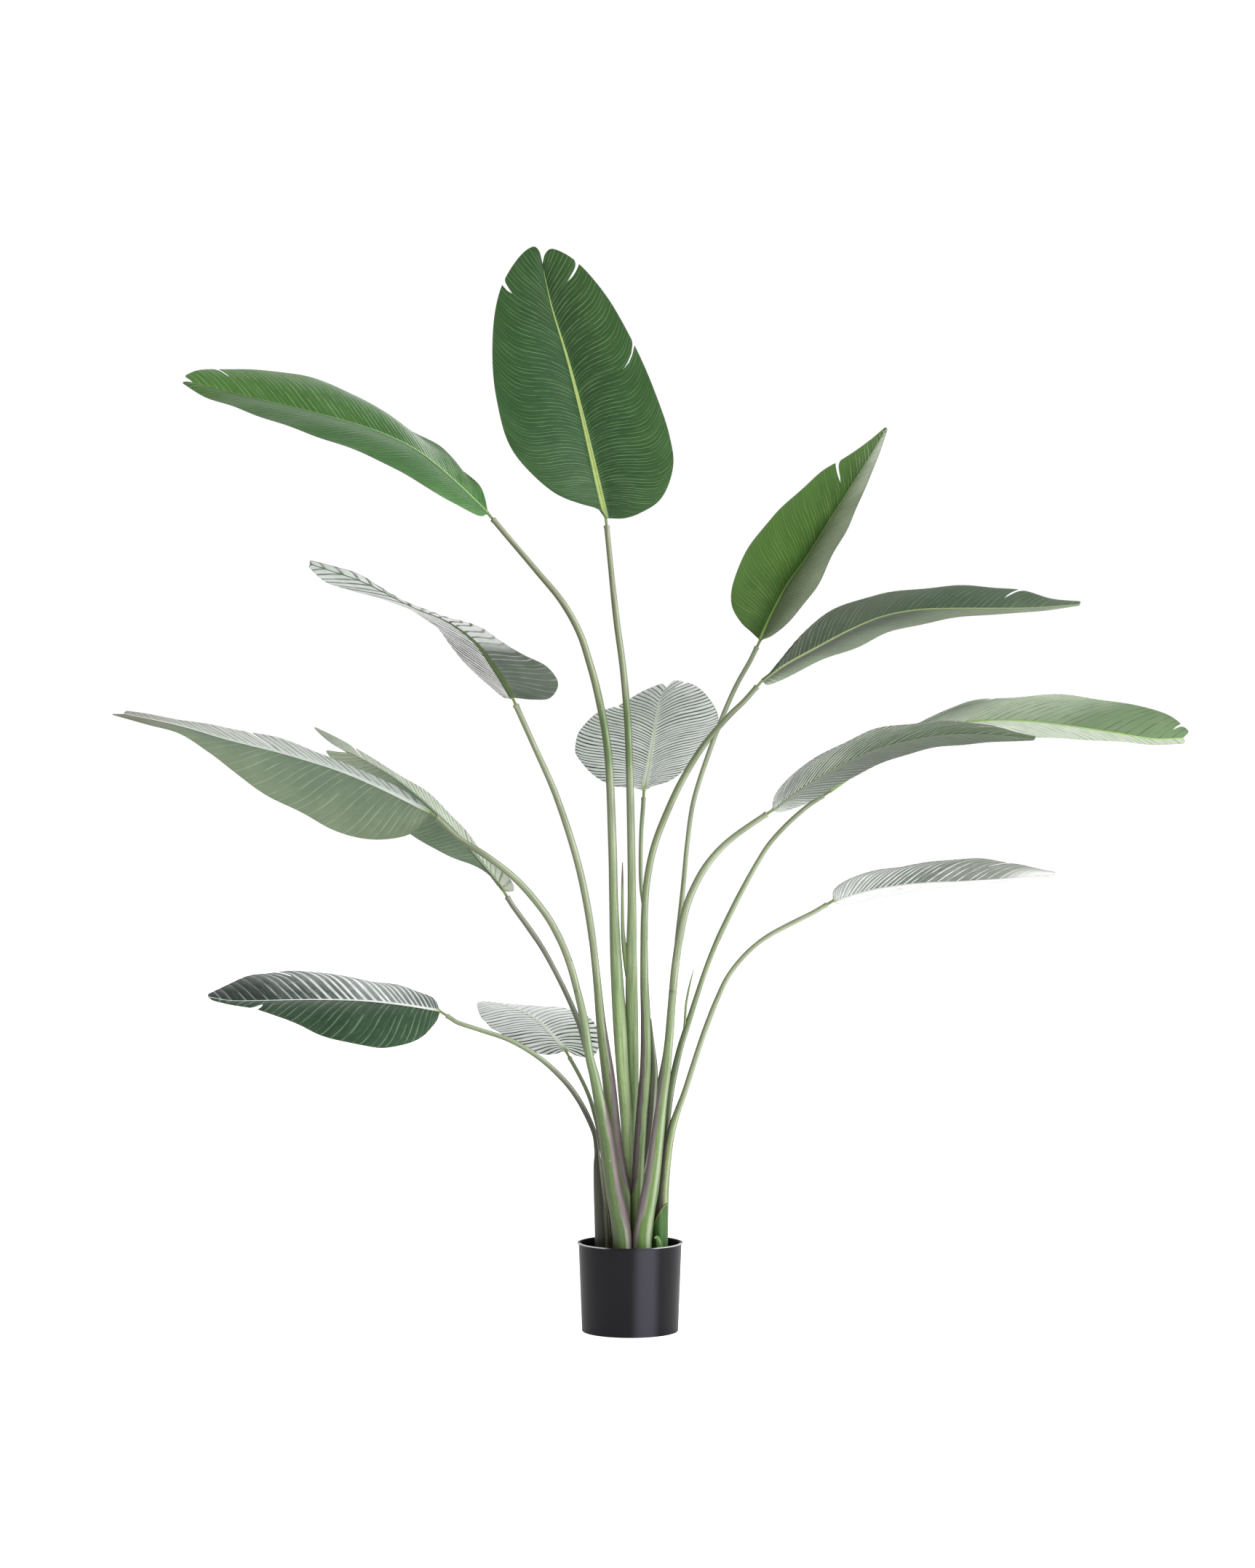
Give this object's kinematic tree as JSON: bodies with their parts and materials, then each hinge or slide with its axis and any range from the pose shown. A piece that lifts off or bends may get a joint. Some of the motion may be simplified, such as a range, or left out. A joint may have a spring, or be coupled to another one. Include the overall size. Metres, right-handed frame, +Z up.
{
  "type": "potted banana plant",
  "caption": "Artificial banana plant: broad pleated leaves on long bowed stems, in a round nursery pot with a weighted filling.",
  "frame": {"origin": "middle of the pot's underside, the flat ring and disc that the plant rests on", "axes": "+Z up along the pot's axis; +X to the right of the plant's front view, where the leaves spread furthest; -Y towards the viewer of that view"},
  "size_m": [1.7807, 0.5263, 1.8022],
  "materials": {
    "pot": "satin charcoal plastic",
    "filling": "rough dark weighted filling",
    "leaf": "satin green leaf with pale veins",
    "stem": "satin sage green",
    "sheath": "satin bright green",
    "bud": "satin pale green and tan"
  },
  "bodies": {
    "root": {"pot": "pot", "pot_filling": "filling", "leaf_01": "leaf", "leaf_02": "leaf", "leaf_03": "leaf", "leaf_04": "leaf", "leaf_05": "leaf", "leaf_06": "leaf", "leaf_07": "leaf", "leaf_08": "leaf", "leaf_09": "leaf", "leaf_10": "leaf", "leaf_11": "leaf", "leaf_12": "leaf", "leaf_13": "leaf", "stem_01": "stem", "stem_02": "stem", "stem_03": "stem", "stem_04": "stem", "stem_05": "stem", "stem_06": "stem", "stem_07": "stem", "stem_08": "stem", "stem_09": "stem", "stem_10": "stem", "stem_11": "stem", "stem_12": "stem", "stem_13": "stem", "cut_sheath": "sheath", "curled_bud": "bud"}
  },
  "joints": []
}
